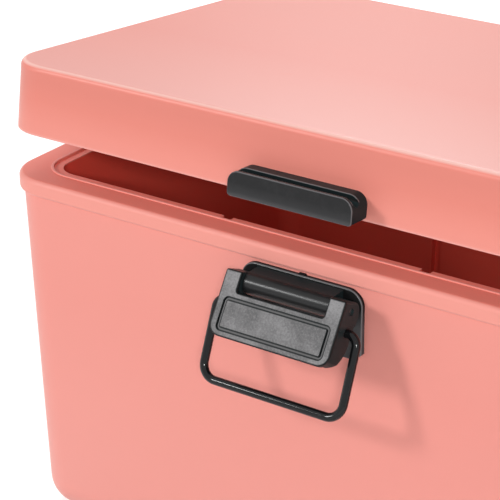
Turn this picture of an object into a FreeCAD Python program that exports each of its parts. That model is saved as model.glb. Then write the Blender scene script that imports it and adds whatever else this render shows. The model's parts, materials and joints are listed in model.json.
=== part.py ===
import FreeCAD, Part
import math
import os
from FreeCAD import Vector as V

# Hinged double-walled box with a draw latch on its front.
# Millimetres, +Z up, +X to the right, the front faces -Y.
# The origin is the middle of the underside.

# Rim and walls of the box
rim_width = 310.0
rim_depth = 221.0
rim_height = 170.0
rim_corner = 19.0
rim_edge_radius = 2.2
band_height = 7.5
band_wall = 1.65
band_foot_radius = 1.4
band_gap = 0.1
ledge_width = 12.4
ledge_thick = 2.4
ledge_corner = 13.6
bead_width = 1.4
bead_rise = 0.45
bead_edge_radius = 0.4
shelf_width = 3.9
shelf_drop = 0.6
wall_draft = 1.36
shell_wall = 2.2
shell_floor = 2.6
shell_foot_radius = 15.5
liner_wall = 2.0
liner_floor = 2.4
cavity_corner = 10.0
cavity_floor_radius = 9.0
floor_filling = 12.0
filling_gap = 0.2
divider_slot_width = 4.7
divider_slot_foot = 12.0

# Lid
lid_height = 30.7
lid_draft = 1.7
lid_wall = 2.4
lid_edge_radius = 2.8
lid_foot_radius = 0.5
lid_gap = 0.3
lid_ajar = 5.14
lid_liner_recess = 0.7
lid_liner_wall = 2.0
lid_liner_gap = 0.2
plug_depth = 5.0
plug_clearance = 0.9
plug_edge_radius = 2.0
seal_side_gap = 0.6
seal_lift = 0.2
seal_squeeze_gap = 0.02

# Rear hinges
hinge_from_end = 65.0
hinge_axis_out = 5.6
hinge_leaf_width = 56.0
hinge_leaf_height = 22.0
hinge_leaf_thick = 3.2
hinge_leaf_out = 1.0
hinge_leaf_corner = 3.0
hinge_barrel_radius = 4.2
hinge_lid_knuckle = 16.0
hinge_body_knuckle = 9.0
hinge_knuckle_gap = 0.3
hinge_pin_diameter = 3.0
hinge_pin_overhang = 0.6
hinge_band_gap = 0.3
hinge_leaf_drop = 0.8
hinge_screw_pitch = 43.0

# Latch
latch_offset = -1.0
pivot_out = 6.8
pivot_drop = 14.6
plate_overhang = 0.6
plate_height = 30.5
plate_out = 0.0
plate_band_gap = 1.6
plate_corner = 7.0
plate_chamfer = 3.0
plate_edge_radius = 0.8
plate_nub_width = 3.0
plate_nub_height = 0.6
barrel_radius = 4.8
barrel_side_gap = 0.4
lever_pin_diameter = 3.0
lever_pin_recess = 1.0
lever_width = 55.2
lever_length = 26.9
lever_depth = 13.3
lever_corner = 5.0
lever_ear_corner = 0.9
lever_slot_corner = 1.2
lever_panel = 2.6
lever_cheek = 2.8
lever_cheek_step = 0.5
lever_notch_along = 7.8
lever_notch_width = 2.8
lever_notch_in = 9.2
lever_ear_width = 7.4
lever_slot_depth = 8.4
lever_ear_height = 9.6
lever_pivot_along = 2.9
lever_pivot_in = 6.8
lever_tail_start = 14.5
lever_head_rise = 1.3
lever_head_swell = 1.04
lever_head_flat = 8.0
lever_head_round = 3.7
lever_edge_radius = 0.5
lever_lift = 32.6
groove_inset_side = 3.1
groove_inset_end = 2.4
groove_from_slot = 2.4
groove_width = 1.3
groove_depth = 0.6
groove_corner = 2.0
bail_wire = 3.6
bail_length = 33.5
bail_side_room = 5.0
bail_corner = 6.5
bail_hook_bend = 4.5
bail_end_inside = 2.0
bail_below_pivot = 8.4
bail_behind_pivot = 1.7
bail_swing = 22.0
bush_wall = 0.7
pin_clearance = 0.05
fit_clearance = 0.02

# Keeper on the lid
keeper_out = 11.5
keeper_groove_out = 7.5
keeper_bottom = 1.1
keeper_corner = 5.0
keeper_foot_corner = 1.5
keeper_edge_radius = 0.6
keeper_mouth_radius = 0.4
keeper_rise = 1.3
keeper_clearance = 0.35

# Screws
screw_shank = 3.0
screw_head = 6.0
screw_head_height = 2.0
screw_head_gap = 0.1
screw_bite = 5.2
screw_slot_width = 0.9
screw_slot_depth = 0.9
screw_boss = 7.5
screw_boss_length = 8.0
latch_screw_upper = 26.0
latch_screw_lower = 30.0
latch_screw_drop = 29.0
latch_pad_radius = 3.5
latch_pad_height = 3.0
keeper_screw_pitch = 30.0
keeper_screw_gap = 0.5

# Worked out from the sizes above, and how closely edges are picked
edge_match = 1e-4
X_AXIS = V(1, 0, 0)
Y_AXIS = V(0, 1, 0)
slope = math.tan(math.radians(wall_draft))
lid_slope = math.tan(math.radians(lid_draft))
front = -rim_depth / 2
rear = rim_depth / 2
shell_inset = band_wall + band_gap
shell_top = rim_height - ledge_thick - band_gap
cavity_inset = ledge_width + shelf_width
cavity_floor = shell_floor + floor_filling + liner_floor
divider_slot_at = (rim_width - 2 * cavity_inset) / 6
lid_bottom = rim_height + lid_gap
lid_top = rim_height + lid_height
lid_pan_low = lid_bottom + lid_liner_recess
lid_pan_top = lid_pan_low + lid_liner_wall
plug_inset = cavity_inset + plug_clearance
hinge_line = V(0, rear + hinge_axis_out, rim_height)
hinge_reach = rim_width / 2 - hinge_from_end
hinge_places = (("left", -hinge_reach), ("right", hinge_reach))
pivot = V(0, front - pivot_out, rim_height - pivot_drop)
plate_face = front - plate_out
plate_width = lever_width + 2 * plate_overhang
keeper_width = plate_width
plate_top = rim_height - band_height - plate_band_gap
slot_half = lever_width / 2 - lever_ear_width
cheek_inner = lever_width / 2 - lever_cheek
lever_origin = pivot + V(0, -lever_pivot_in, lever_pivot_along)
bail_pivot_shut = pivot + V(0, bail_behind_pivot, -bail_below_pivot)
wire_radius = bail_wire / 2
bail_half_width = lever_width / 2 + bail_side_room
bush_radius = wire_radius + pin_clearance + bush_wall
keeper_room = wire_radius + keeper_clearance
keeper_wire_reach = front - keeper_groove_out - bail_pivot_shut.y
keeper_wire_height = bail_pivot_shut.z + math.sqrt(bail_length ** 2 - keeper_wire_reach ** 2)
bail_hooked = 180.0 - math.degrees(math.asin(-keeper_wire_reach / bail_length))


def turned(shape, point, degrees):
    """A copy turned about a line along X, so that what is in front of the line goes up."""
    copy = shape.copy()
    copy.rotate(point, X_AXIS, -degrees)
    return copy


def ajar(shape):
    return turned(shape, hinge_line, lid_ajar)


def lifted(shape):
    return turned(shape, pivot, lever_lift)


def at_latch(shape):
    """A copy moved from the middle of the front to where the latch sits."""
    return shape.translated(V(latch_offset, 0, 0))


def block(x, y, z):
    """Box between pairs of limits."""
    size = [high - low for low, high in (x, y, z)]
    return Part.makeBox(size[0], size[1], size[2], V(x[0], y[0], z[0]))


def standing_edges(solid):
    return [e for e in solid.Edges if e.BoundBox.ZLength > edge_match]


def upright(inset, corner, low, high):
    """Straight-sided block with a rounded rectangular plan, inset from the rim's outer face."""
    x = rim_width / 2 - inset
    y = rim_depth / 2 - inset
    solid = block((-x, x), (-y, y), (low, high))
    return solid.makeFillet(corner, standing_edges(solid))


def leaning(foot_x, foot_y, top_x, top_y, z):
    """Flat-sided solid from one rectangle to another above it, each given by pairs of limits."""
    solid = Part.makeWedge(foot_x[0], z[0], -foot_y[1], -top_y[1], top_x[0],
                           foot_x[1], z[1], -foot_y[0], -top_y[0], top_x[1])
    solid.rotate(V(0, 0, 0), X_AXIS, 90)
    return solid


def tapered(insets, corner, low, high):
    """Block with a rounded plan and one inset from the rim's outer face at its foot, another at its top."""
    x = [(lean - rim_width / 2, rim_width / 2 - lean) for lean in insets]
    y = [(lean - rim_depth / 2, rim_depth / 2 - lean) for lean in insets]
    solid = leaning(x[0], y[0], x[1], y[1], (low, high))
    return solid.makeFillet(corner, standing_edges(solid))


def drafted(inset, corner, low, high):
    """Block whose walls lean in towards the floor, with the inset given at the rim's top."""
    return tapered([inset + slope * (rim_height - z) for z in (low, high)], corner, low, high)


def lid_block(inset, corner, low, high):
    """Block whose walls lean in towards the lid's top, with the inset given at the lid's foot."""
    return tapered([inset + lid_slope * (z - lid_bottom) for z in (low, high)], corner, low, high)


def edges_at(shape, z):
    """Edges that lie wholly at one height."""
    return [e for e in shape.Edges if abs(e.BoundBox.ZMin - z) + abs(e.BoundBox.ZMax - z) < edge_match]


def rounded_at(shape, z, radius):
    return shape.makeFillet(radius, edges_at(shape, z))


def prism(points, x_low, x_high):
    """Polygon of (y, z) points drawn out along X."""
    corners = [V(x_low, y, z) for y, z in points]
    face = Part.Face(Part.makePolygon(corners + corners[:1]))
    return face.extrude(V(x_high - x_low, 0, 0))


def rod_x(radius, x_low, x_high, centre):
    return Part.makeCylinder(radius, x_high - x_low, V(x_low, centre.y, centre.z), X_AXIS)


def joined(shapes):
    whole = shapes[0]
    for shape in shapes[1:]:
        whole = whole.fuse(shape)
    return whole.removeSplitter()


def without(shape, tools):
    for tool in tools:
        shape = shape.cut(tool)
    return shape


def wall_y(inset, z):
    """How far from the middle a drafted front or rear wall stands at one height."""
    return rim_depth / 2 - inset - slope * (rim_height - z)


def lid_y(inset, z):
    """How far from the middle the lid's front or rear wall stands at one height."""
    return rim_depth / 2 - inset - lid_slope * (z - lid_bottom)


# Screws

def pan_screw(seat, along, grip, extra=0.0):
    """Pan-head screw whose head stands on seat and whose shank points along the given way."""
    base = seat - along * screw_head_gap
    shank = Part.makeCylinder(screw_shank / 2 + extra, screw_head_gap + grip + extra, base, along)
    head = Part.makeCylinder(screw_head / 2 + extra, screw_head_height + extra, base, along * -1)
    screw = head.fuse(shank)
    return screw if extra else screw.cut(cross_recess(base - along * screw_head_height, along))


def countersunk_screw(face, along, grip, extra=0.0):
    """Flat-head screw whose head is flush with the face."""
    cone_height = (screw_head - screw_shank) / 2
    cone = Part.makeCone(screw_head / 2 + extra, screw_shank / 2 + extra, cone_height, face, along)
    shank = Part.makeCylinder(screw_shank / 2 + extra, grip + extra, face, along)
    screw = cone.fuse(shank)
    if extra:
        return screw.fuse(Part.makeCylinder(screw_head / 2 + extra, screw_head_height, face, along * -1))
    return screw.cut(cross_recess(face, along))


def cross_recess(face, along):
    """Crossed slots in the middle of a screw's head, for screws that point along Y."""
    reach = screw_shank / 2
    half = screw_slot_width / 2
    depth = sorted((face.y, face.y + along.y * screw_slot_depth))
    bar = block((face.x - reach, face.x + reach), depth, (face.z - half, face.z + half))
    post = block((face.x - half, face.x + half), depth, (face.z - reach, face.z + reach))
    return bar.fuse(post)


def latch_screws(extra=0.0):
    """Four screws from inside the shell into the latch base."""
    upper = [(side * latch_screw_upper / 2, pivot.z) for side in (-1, 1)]
    lower = [(side * latch_screw_lower / 2, rim_height - latch_screw_drop) for side in (-1, 1)]
    screws = []
    for x, z in upper + lower:
        seat = V(x, -wall_y(shell_inset + shell_wall, z), z)
        screws.append(pan_screw(seat, Y_AXIS * -1, shell_wall + screw_bite, extra))
    return screws


def keeper_screws(extra=0.0):
    """Two screws from inside the lid into the keeper."""
    z = lid_pan_top + screw_head / 2 + keeper_screw_gap
    places = [V(side * keeper_screw_pitch / 2, -lid_y(lid_wall, z), z) for side in (-1, 1)]
    return [pan_screw(place, Y_AXIS * -1, lid_wall + screw_bite, extra) for place in places]


def hinge_screw_places(y, z):
    return [V(middle + side * hinge_screw_pitch / 2, y, z)
            for _, middle in hinge_places for side in (-1, 1)]


def body_screw_places():
    z = rim_height - band_height - hinge_leaf_drop - hinge_leaf_height / 2
    return hinge_screw_places(rear + hinge_leaf_out, z)


def lid_screw_places():
    z = lid_bottom + hinge_barrel_radius + hinge_leaf_height / 2
    return hinge_screw_places(rear + hinge_leaf_thick, z)


def body_screw_grip():
    leaf = hinge_leaf_out + rear - wall_y(shell_inset, body_screw_places()[0].z)
    return leaf + shell_wall + screw_bite


def lid_screw_grip():
    return hinge_leaf_thick + lid_wall + screw_bite


def hinge_body_screws(extra=0.0):
    grip = body_screw_grip()
    return [countersunk_screw(place, Y_AXIS * -1, grip, extra) for place in body_screw_places()]


def hinge_lid_screws(extra=0.0):
    grip = lid_screw_grip()
    return [countersunk_screw(place, Y_AXIS * -1, grip, extra) for place in lid_screw_places()]


def screw_bosses(places, wall_face, extra=0.0):
    """Bosses behind a rear wall's outer face that the hinge screws bite into."""
    radius = screw_boss / 2 + extra
    length = shell_wall / 2 + screw_boss_length + extra
    return [Part.makeCylinder(radius, length, V(p.x, wall_face, p.z), Y_AXIS * -1) for p in places]


def shell_bosses(extra=0.0):
    places = body_screw_places()
    return screw_bosses(places, wall_y(shell_inset + shell_wall / 2, places[0].z), extra)


def lid_bosses(extra=0.0):
    return screw_bosses(lid_screw_places(), rear - lid_wall / 2, extra)


# Box body

def shell_outside():
    solid = drafted(shell_inset, rim_corner - shell_inset, 0, shell_top)
    return rounded_at(solid, 0, shell_foot_radius)


def shell_inside(gap=0.0):
    """Space inside the outer shell, less a gap all round."""
    inset = shell_inset + shell_wall + gap
    low = shell_floor + gap
    solid = drafted(inset, rim_corner - inset, low, shell_top)
    return rounded_at(solid, low, shell_foot_radius - shell_wall - gap)


def outer_shell():
    walls = shell_outside().cut(shell_inside())
    walls = joined([walls] + [boss.common(shell_outside()) for boss in shell_bosses()])
    latch_holes = [at_latch(screw) for screw in latch_screws(fit_clearance)]
    return without(walls, latch_holes + hinge_body_screws(fit_clearance))


def divider_slots(side, extra_depth, low, high):
    """Upright grooves in the front and rear walls, at a third and two thirds of the width."""
    slots = []
    half = divider_slot_width / 2 + side
    for x in (-divider_slot_at, divider_slot_at):
        for facing in (-1, 1):
            spans = []
            for z in (low, high):
                far = facing * wall_y(ledge_width - extra_depth, z)
                near = facing * wall_y(cavity_inset + liner_wall, z)
                spans.append(sorted((far, near)))
            width = (x - half, x + half)
            slots.append(leaning(width, spans[0], width, spans[1], (low, high)))
    return slots


def cavity():
    solid = drafted(cavity_inset, cavity_corner, cavity_floor, rim_height)
    return rounded_at(solid, cavity_floor, cavity_floor_radius)


def cavity_wall(gap=0.0):
    """Outside of the liner's tub and of its divider slots, with a gap all round."""
    inset = cavity_inset - liner_wall - gap
    low = cavity_floor - liner_floor - gap
    high = rim_height - shelf_drop
    tub = drafted(inset, cavity_corner + liner_wall + gap, low, high)
    tub = rounded_at(tub, low, cavity_floor_radius + liner_wall + gap)
    slot_low = cavity_floor + divider_slot_foot - liner_wall - gap
    return joined([tub] + divider_slots(liner_wall + gap, liner_wall + gap, slot_low, high))


def rim():
    """Band, ledge and shelf round the mouth of the box."""
    low = rim_height - band_height
    solid = upright(0, rim_corner, low, rim_height)
    solid = rounded_at(solid, rim_height, rim_edge_radius)
    solid = rounded_at(solid, low, band_foot_radius)
    under = upright(band_wall, rim_corner - band_wall, low, rim_height - ledge_thick)
    mouth = upright(ledge_width, ledge_corner, low, rim_height)
    ring = joined([solid.cut(under).cut(mouth), mouth_bead()])
    shelf_top = rim_height - shelf_drop
    shelf = upright(ledge_width - liner_wall, ledge_corner + liner_wall, shelf_top - ledge_thick, shelf_top)
    return ring, shelf


def mouth_bead():
    """Low raised bead where the ledge ends, before the drop to the shelf."""
    low = rim_height - ledge_thick / 2
    high = rim_height + bead_rise
    outside = upright(ledge_width - bead_width, ledge_corner + bead_width, low, high)
    bead = outside.cut(upright(ledge_width, ledge_corner, low, high))
    return rounded_at(bead, high, bead_edge_radius)


def inner_liner():
    ring, shelf = rim()
    tub = joined([cavity_wall(), shelf])
    slot_low = cavity_floor + divider_slot_foot
    tub = without(tub, [cavity()] + divider_slots(0, 0, slot_low, rim_height))
    return joined([ring, tub])


def body_insulation():
    """Filling between the shell and the liner."""
    top = rim_height - shelf_drop - ledge_thick - filling_gap
    fill = shell_inside(filling_gap).common(upright(0, rim_corner, 0, top))
    hollows = [cavity_wall(filling_gap)] + shell_bosses(filling_gap)
    heads = [at_latch(screw) for screw in latch_screws(filling_gap)]
    return without(fill, hollows + heads + hinge_body_screws(filling_gap))


# Lid, modelled shut

def lid_outside():
    solid = rounded_at(lid_block(0, rim_corner, lid_bottom, lid_top), lid_top, lid_edge_radius)
    return rounded_at(solid, lid_bottom, lid_foot_radius)


def lid_inside(low, gap=0.0):
    """Space under the lid's cover, from one height up, less a gap."""
    inset = lid_wall + gap
    high = lid_top - lid_wall - gap
    return lid_block(inset, rim_corner - inset, low, high)


def lid_cover():
    cover = joined([lid_outside().cut(lid_inside(lid_bottom))] + lid_bosses())
    keeper_holes = [at_latch(screw) for screw in keeper_screws(fit_clearance)]
    return without(cover, keeper_holes + hinge_lid_screws(fit_clearance))


def plug(shrink, low, high):
    inset = plug_inset + shrink
    return upright(inset, cavity_corner - plug_clearance - shrink, low, high)


def lid_liner():
    """Flat pan that closes the lid, with a shallow plug that drops into the mouth of the box."""
    inset = lid_wall + lid_liner_gap
    pan = upright(inset, rim_corner - inset, lid_pan_low, lid_pan_top)
    floor = rim_height - plug_depth
    hollow = plug(lid_liner_wall, floor + lid_liner_wall, lid_pan_top)
    tray = rounded_at(plug(0, floor, lid_pan_top), floor, plug_edge_radius)
    return joined([pan, tray]).cut(hollow)


def lid_seal():
    """Soft ring round the plug, just over the shelf."""
    low = rim_height - shelf_drop + seal_lift
    inset = ledge_width + seal_side_gap
    ring = upright(inset, ledge_corner - seal_side_gap, low, lid_pan_low)
    return ring.cut(plug(-seal_squeeze_gap, low, lid_pan_low))


def lid_insulation():
    """Filling of the lid, down into the plug."""
    fill = lid_inside(lid_pan_top + filling_gap, filling_gap)
    low = rim_height - plug_depth + lid_liner_wall + filling_gap
    tongue = plug(lid_liner_wall + filling_gap, low, lid_pan_top + 2 * filling_gap)
    heads = [at_latch(screw) for screw in keeper_screws(filling_gap)]
    hollows = lid_bosses(filling_gap) + heads + hinge_lid_screws(filling_gap)
    return without(joined([fill, tongue]), hollows)


def keeper_bar():
    """Rounded bar on the lid's front, before the groove is cut."""
    half = keeper_width / 2
    low = rim_height + keeper_bottom
    high = keeper_wire_height + keeper_rise
    bar = block((-half, half), (front - keeper_out, -lid_y(0, high)), (low, high))
    bar = rounded_along_y(bar, high, keeper_corner)
    return rounded_along_y(bar, low, keeper_foot_corner).cut(lid_outside())


def keeper():
    """Bar with a lip in front of the groove that the bail drops into."""
    bar = keeper_bar()
    face = front - keeper_out
    lip_back = front - keeper_groove_out - keeper_room
    back_face = front - keeper_groove_out + keeper_room
    soft = keeper_mouth_radius
    lip = bar.common(across_y(face, lip_back, lid_top))
    lip = lip.makeFillet(keeper_edge_radius, edges_facing(lip, face))
    lip = lip.makeFillet(soft, edges_facing(lip, lip_back))
    back = bar.common(across_y(back_face, rear, lid_top))
    back = back.makeFillet(soft, edges_facing(back, back_face))
    floor = bar.common(across_y(lip_back - soft, back_face + soft, keeper_wire_height))
    hooked = turned(bail_shape(bail_pivot_shut, keeper_room), bail_pivot_shut, bail_hooked)
    return without(joined([lip, back, floor]), [hooked] + keeper_screws(fit_clearance))


def across_y(y_low, y_high, z_high):
    """Slab across the whole width between two upright planes, up to one height."""
    return block((-rim_width, rim_width), (y_low, y_high), (0, z_high))


def edges_facing(shape, y):
    """Edges that lie wholly in one plane across Y."""
    return [e for e in shape.Edges if abs(e.BoundBox.YMin - y) + abs(e.BoundBox.YMax - y) < edge_match]


def rounded_along_y(shape, z, radius):
    """Rounds the edges at one height that run along Y."""
    edges = [e for e in edges_at(shape, z) if e.BoundBox.XLength < edge_match]
    return shape.makeFillet(radius, edges)


# Rear hinges

def hinge_leaf_plate(middle, y, z):
    plate = block((middle - hinge_leaf_width / 2, middle + hinge_leaf_width / 2), y, z)
    edges = [e for e in plate.Edges if e.BoundBox.YLength > edge_match]
    return plate.makeFillet(hinge_leaf_corner, edges)


def hinge_body_leaf(middle):
    """Leaf on the shell below the band, with the two outer knuckles."""
    high = rim_height - band_height - hinge_leaf_drop
    low = high - hinge_leaf_height
    face = rear + hinge_leaf_out
    plate = hinge_leaf_plate(middle, (wall_y(shell_inset, low), face), (low, high))
    plate = plate.cut(shell_outside())
    inner = rear + hinge_band_gap
    outer = hinge_line.y + hinge_barrel_radius
    web = [(inner, rim_height), (outer, rim_height), (face, low + hinge_leaf_corner),
           (inner, low + hinge_leaf_corner)]
    start = hinge_lid_knuckle / 2 + hinge_knuckle_gap
    end = start + hinge_body_knuckle
    pieces = [plate]
    for x_low, x_high in ((middle - end, middle - start), (middle + start, middle + end)):
        pieces.append(prism(web, x_low, x_high))
        pieces.append(rod_x(hinge_barrel_radius, x_low, x_high, hinge_line))
    bore = rod_x(hinge_pin_diameter / 2 + fit_clearance, middle - end, middle + end, hinge_line)
    return without(joined(pieces), [bore] + hinge_body_screws(fit_clearance))


def hinge_lid_leaf(middle):
    """Leaf on the lid's rear, with the middle knuckle."""
    low = lid_bottom + hinge_barrel_radius
    high = low + hinge_leaf_height
    face = rear + hinge_leaf_thick
    plate = hinge_leaf_plate(middle, (lid_y(0, high), face), (low, high)).cut(lid_outside())
    outer = hinge_line.y + hinge_barrel_radius
    web = [(rear + hinge_band_gap, rim_height), (outer, rim_height), (face, high - hinge_leaf_corner),
           (rear, high - hinge_leaf_corner), (rear, lid_bottom + lid_gap)]
    half = hinge_lid_knuckle / 2
    arm = prism(web, middle - half, middle + half)
    barrel = rod_x(hinge_barrel_radius, middle - half, middle + half, hinge_line)
    bore = rod_x(hinge_pin_diameter / 2 + pin_clearance, middle - half, middle + half, hinge_line)
    return without(joined([plate, arm, barrel]), [bore] + hinge_lid_screws(fit_clearance))


def hinge_pin(middle):
    reach = hinge_lid_knuckle / 2 + hinge_knuckle_gap + hinge_body_knuckle + hinge_pin_overhang
    return rod_x(hinge_pin_diameter / 2, middle - reach, middle + reach, hinge_line)


# Latch, modelled with the lever flat against its base

def latch_plate():
    """Back plate with round upper and cut lower corners, fitted to the drafted wall."""
    half = plate_width / 2
    low = plate_top - plate_height
    mid = plate_corner * (1 - math.sqrt(0.5))
    y = plate_face
    points = [V(-half, y, low + plate_chamfer), V(-half, y, plate_top - plate_corner),
              V(-half + plate_corner, y, plate_top), V(half - plate_corner, y, plate_top),
              V(half, y, plate_top - plate_corner), V(half, y, low + plate_chamfer),
              V(half - plate_chamfer, y, low), V(-half + plate_chamfer, y, low)]
    edges = [Part.LineSegment(points[0], points[1]).toShape(),
             Part.Arc(points[1], V(-half + mid, y, plate_top - mid), points[2]).toShape(),
             Part.LineSegment(points[2], points[3]).toShape(),
             Part.Arc(points[3], V(half - mid, y, plate_top - mid), points[4]).toShape()]
    edges += [Part.LineSegment(points[i], points[(i + 1) % 8]).toShape() for i in range(4, 8)]
    depth = -wall_y(shell_inset, low) - y
    plate = Part.Face(Part.Wire(edges)).extrude(V(0, depth, 0))
    rim_edges = [e for e in plate.Edges if e.BoundBox.YMax < y + edge_match]
    return plate.makeFillet(plate_edge_radius, rim_edges)


def latch_base():
    """Back plate with the barrel that carries the lever."""
    wall = -wall_y(shell_inset, plate_top)
    half = slot_half - barrel_side_gap
    boss = block((-half, half), (pivot.y, wall), (pivot.z - barrel_radius, pivot.z + barrel_radius))
    barrel = rod_x(barrel_radius, -half, half, pivot)
    nub_half = plate_nub_width / 2
    nub = block((-nub_half, nub_half), (plate_face + plate_edge_radius, wall),
                (plate_top - plate_nub_height, plate_top + plate_nub_height))
    pad_z = rim_height - latch_screw_drop
    pad_length = latch_pad_height + plate_edge_radius
    pads = [Part.makeCylinder(latch_pad_radius, pad_length, V(side * latch_screw_lower / 2,
                              plate_face - latch_pad_height, pad_z), Y_AXIS) for side in (-1, 1)]
    base = joined([latch_plate(), boss, barrel, nub] + pads).cut(shell_outside())
    bore = rod_x(lever_pin_diameter / 2 + fit_clearance, -half, half, pivot)
    return without(base, [bore] + latch_screws(fit_clearance))


def lever_pin():
    reach = lever_width / 2 - lever_pin_recess
    return rod_x(lever_pin_diameter / 2, -reach, reach, pivot)


def lever_side():
    """Side view of the lever as a face across X, with its face's top edge at the origin."""
    tail = lever_depth - lever_panel
    drop = lever_length - lever_tail_start
    radius = (tail ** 2 + drop ** 2) / (2 * tail)
    centre = lever_depth - radius
    half_turn = math.atan2(drop, lever_panel - centre) / 2
    x = -lever_width / 2
    foot = V(x, lever_panel, -lever_length)
    bow = V(x, centre + radius * math.cos(half_turn), -lever_tail_start - radius * math.sin(half_turn))
    heel = V(x, lever_depth, -lever_tail_start)
    nape = V(x, lever_depth, -lever_head_round)
    crown = V(x, lever_head_flat, lever_head_rise)
    swell = (nape + crown) * 0.5 + V(0, lever_head_swell, lever_head_swell)
    edges = [Part.LineSegment(V(x, 0, 0), V(x, 0, -lever_length)).toShape(),
             Part.LineSegment(V(x, 0, -lever_length), foot).toShape(),
             Part.Arc(foot, bow, heel).toShape(),
             Part.LineSegment(heel, nape).toShape(),
             Part.Arc(nape, swell, crown).toShape(),
             Part.LineSegment(crown, V(x, 0, 0)).toShape()]
    return Part.Face(Part.Wire(edges))


def lever_body():
    """Deep lever with round lower corners, before it is hollowed."""
    body = lever_side().extrude(V(lever_width, 0, 0))
    half = lever_width / 2
    envelope = block((-half, half), (0, lever_depth), (-lever_length, 2 * lever_head_rise))
    envelope = rounded_along_y(envelope, -lever_length, lever_corner)
    body = body.common(envelope)
    ears = [e for e in body.Edges if e.BoundBox.ZMax > lever_head_rise - edge_match
            and e.BoundBox.YMin < edge_match and e.BoundBox.XLength < edge_match]
    return body.makeFillet(lever_ear_corner, ears)


def lever_hollows():
    """Slot for the barrel and the open channel behind the panel."""
    end = -2 * lever_length
    slot = block((-slot_half, slot_half), (0, lever_depth), (-lever_slot_depth, 2 * lever_head_rise))
    slot = rounded_along_y(slot, -lever_slot_depth, lever_slot_corner)
    neck = block((-slot_half, slot_half), (lever_panel, lever_depth), (-lever_ear_height, 0))
    channel = block((-cheek_inner, cheek_inner), (lever_panel, lever_depth), (end, -lever_ear_height))
    return [slot, neck, channel]


def lever_face_groove():
    """Narrow groove round the panel on the lever's face."""
    def panel(inset):
        half = lever_width / 2 - groove_inset_side - inset
        high = -lever_slot_depth - groove_from_slot - inset
        low = -lever_length + groove_inset_end + inset
        frame = block((-half, half), (0, groove_depth), (low, high))
        edges = [e for e in frame.Edges if e.BoundBox.YLength > edge_match]
        return frame.makeFillet(groove_corner - inset, edges)
    return panel(0).cut(panel(groove_width))


def lever_cheek_steps():
    """Shallow relief outside each cheek, below the ears, and the way in for the bail's end."""
    half = lever_width / 2
    top = -bail_below_pivot - lever_pivot_along
    steps = []
    for low, high in ((-half, -half + lever_cheek_step), (half - lever_cheek_step, half)):
        steps.append(block((low, high), (lever_edge_radius * 2, lever_depth), (-2 * lever_length, top)))
        notch = (-lever_notch_along - lever_notch_width, -lever_notch_along)
        steps.append(block((low, high), (lever_notch_in, lever_depth), notch))
    return steps


def latch_lever():
    """Lever with two ears that straddle the barrel, shut."""
    lever = without(lever_body(), lever_hollows())
    edges = [e for e in lever.Edges if e.BoundBox.YMax < edge_match]
    lever = lever.makeFillet(lever_edge_radius, edges)
    lever = without(lever, [lever_face_groove()] + lever_cheek_steps())
    lever.translate(lever_origin)
    half = lever_width / 2
    bore = rod_x(lever_pin_diameter / 2 + pin_clearance, -half, half, pivot)
    bush_bore = rod_x(bush_radius + fit_clearance, -half, half, bail_pivot_shut)
    return without(lever, [bore, bush_bore])


def bail_bushes():
    """Sleeves set fast in the cheeks, in which the wire's ends turn."""
    outer = lever_width / 2 - lever_cheek_step
    bushes = []
    for low, high in ((-outer, -cheek_inner), (cheek_inner, outer)):
        sleeve = rod_x(bush_radius, low, high, bail_pivot_shut)
        bushes.append(sleeve.cut(rod_x(wire_radius + pin_clearance, low, high, bail_pivot_shut)))
    return bushes


def bail_shape(centre, radius):
    """Bent wire loop that hangs plumb from its pivot line."""
    half = bail_half_width
    end = cheek_inner - bail_end_inside
    foot = -bail_length

    def at(x, z):
        return centre + V(x, 0, z)

    def bend(x, z, turn, size):
        return at(x + size * math.cos(turn), z + size * math.sin(turn))

    hook = bail_hook_bend
    corner = bail_corner
    eighth = math.pi / 4
    pieces = [
        Part.LineSegment(at(-end, 0), at(-half + hook, 0)),
        Part.Arc(at(-half + hook, 0), bend(-half + hook, -hook, 3 * eighth, hook), at(-half, -hook)),
        Part.LineSegment(at(-half, -hook), at(-half, foot + corner)),
        Part.Arc(at(-half, foot + corner), bend(-half + corner, foot + corner, 5 * eighth, corner),
                 at(-half + corner, foot)),
        Part.LineSegment(at(-half + corner, foot), at(half - corner, foot)),
        Part.Arc(at(half - corner, foot), bend(half - corner, foot + corner, 7 * eighth, corner),
                 at(half, foot + corner)),
        Part.LineSegment(at(half, foot + corner), at(half, -hook)),
        Part.Arc(at(half, -hook), bend(half - hook, -hook, eighth, hook), at(half - hook, 0)),
        Part.LineSegment(at(half - hook, 0), at(end, 0)),
    ]
    path = Part.Wire([piece.toShape() for piece in pieces])
    section = Part.Wire(Part.makeCircle(radius, at(-end, 0), X_AXIS))
    return path.makePipeShell([section], True, False)


def bail():
    """The bail where it hangs from the lifted lever."""
    centre = lifted(Part.Vertex(bail_pivot_shut)).Point
    return turned(bail_shape(centre, wire_radius), centre, bail_swing)


def group(shapes):
    return Part.makeCompound(shapes)


nodes = {
    "outer_shell": outer_shell(),
    "inner_liner": inner_liner(),
    "body_insulation": body_insulation(),
    "lid_cover": ajar(lid_cover()),
    "lid_liner": ajar(lid_liner()),
    "lid_insulation": ajar(lid_insulation()),
    "lid_seal": ajar(lid_seal()),
    "keeper": ajar(at_latch(keeper())),
    "keeper_screws": ajar(at_latch(group(keeper_screws()))),
    "latch_base": at_latch(latch_base()),
    "latch_screws": at_latch(group(latch_screws())),
    "lever_pin": at_latch(lever_pin()),
    "latch_lever": at_latch(lifted(latch_lever())),
    "bail_bushes": at_latch(lifted(group(bail_bushes()))),
    "bail": at_latch(bail()),
    "hinge_body_screws": group(hinge_body_screws()),
    "hinge_lid_screws": ajar(group(hinge_lid_screws())),
}
for side, middle in hinge_places:
    nodes["hinge_body_leaf_" + side] = hinge_body_leaf(middle)
    nodes["hinge_lid_leaf_" + side] = ajar(hinge_lid_leaf(middle))
    nodes["hinge_pin_" + side] = hinge_pin(middle)

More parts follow.
